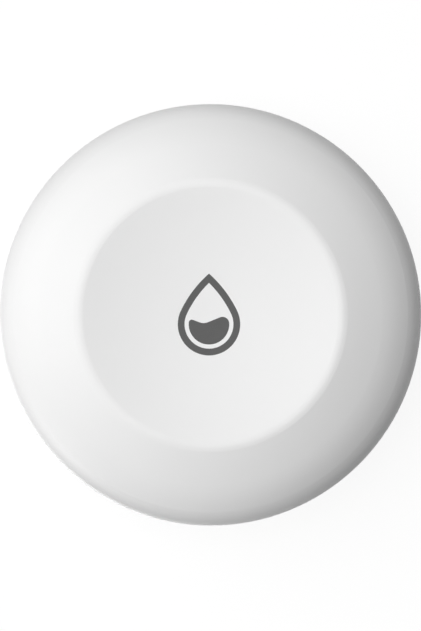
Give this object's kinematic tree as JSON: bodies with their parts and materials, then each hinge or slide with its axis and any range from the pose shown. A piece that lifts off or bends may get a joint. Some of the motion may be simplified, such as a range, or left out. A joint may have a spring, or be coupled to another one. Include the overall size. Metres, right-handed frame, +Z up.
{
  "type": "water leak sensor",
  "caption": "Round puck water leak sensor with a dished press cap, an inlaid drop mark, underside probes and a screw-out battery door.",
  "frame": {"origin": "on the floor under the middle of the sensor", "axes": "+Z up out of the dished cap, +Y the way the tip of the drop mark points, +X to its right"},
  "size_m": [0.05, 0.05, 0.015],
  "materials": {
    "cap_plastic": "satin moulded white",
    "mark_grey": "matt grey inlay",
    "base_plastic": "fine textured white",
    "shell_plastic": "satin moulded pale grey",
    "door_plastic": "fine textured white",
    "silicone": "matt translucent silicone",
    "seal_rubber": "matt black",
    "clear_plastic": "polished clear",
    "probe_metal": "gold plated, polished",
    "nut_metal": "nickel plated",
    "screw_steel": "zinc plated",
    "board_laminate": "green solder resist",
    "trace_copper": "gold flash",
    "chip_black": "matt moulded",
    "crystal_metal": "plain metal lid",
    "lamp_resin": "clear resin on a white base",
    "capacitor_ceramic": "fired ceramic",
    "resistor_glaze": "black glaze on ceramic",
    "solder_tin": "tinned",
    "switch_plastic": "black moulded",
    "switch_metal": "bright strip",
    "plunger_plastic": "black moulded",
    "holder_plastic": "black moulded",
    "contact_metal": "nickel plated strip",
    "cell_steel": "bright drawn steel",
    "cell_gasket": "plain moulded",
    "cathode_powder": "pressed black powder",
    "anode_metal": "soft metal foil"
  },
  "bodies": {
    "housing": {"inner_shell": "shell_plastic", "press_membrane": "silicone", "light_guide": "clear_plastic", "shell_seal": "seal_rubber", "base": "base_plastic", "probe_left": "probe_metal", "probe_right": "probe_metal", "probe_seals": "seal_rubber", "probe_nuts": "nut_metal", "circuit_board": "board_laminate", "board_screws": "screw_steel", "switch_body": "switch_plastic", "switch_cover": "switch_metal", "switch_dome": "switch_metal", "radio_chip": "chip_black", "crystal": "crystal_metal", "sense_chip": "chip_black", "status_led": "lamp_resin", "chip_capacitors": "capacitor_ceramic", "chip_resistors": "resistor_glaze", "component_terminals": "solder_tin", "antenna_trace": "trace_copper", "battery_holder": "holder_plastic", "positive_clip": "contact_metal", "negative_spring": "contact_metal"},
    "cap": {"top_cover": "cap_plastic", "drop_outline": "mark_grey", "drop_level": "mark_grey"},
    "plunger": {"switch_plunger": "plunger_plastic"},
    "door_ring": {"door_seal": "seal_rubber"},
    "door": {"battery_door": "door_plastic"},
    "coin_cell": {"cell_can": "cell_steel", "cell_gasket": "cell_gasket", "cell_cap": "cell_steel", "cell_cathode": "cathode_powder", "cell_anode": "anode_metal"}
  },
  "joints": [
    {"name": "cap_press", "type": "slide", "parent": "housing", "child": "cap", "axis": [0, 0, -1], "range_m": [0, 0.0003], "stiffness_N_per_m": 400, "springref_m": -0.004, "deforming": ["press_membrane", "switch_dome"]},
    {"name": "switch_press", "type": "slide", "parent": "housing", "child": "plunger", "axis": [0, 0, -1], "range_m": [0, 0.0003]},
    {"name": "door_drop", "type": "slide", "parent": "housing", "child": "door_ring", "axis": [0, 0, -1], "range_m": [0, 0.01]},
    {"name": "door_turn", "type": "hinge", "parent": "door_ring", "child": "door", "pos_m": [0, 0, 0], "axis": [0, 0, -1], "range_deg": [0, 300]},
    {"name": "cell_drop", "type": "slide", "parent": "housing", "child": "coin_cell", "axis": [0, 0, -1], "range_m": [0, 0.005]}
  ],
  "couplings": [
    {"joint": "switch_press", "follows": "cap_press", "ratio": 1},
    {"joint": "door_drop", "follows": "door_turn", "m_per_rad": 0.0019099},
    {"joint": "cell_drop", "follows": "door_turn", "m_per_rad": 0.00095493}
  ]
}
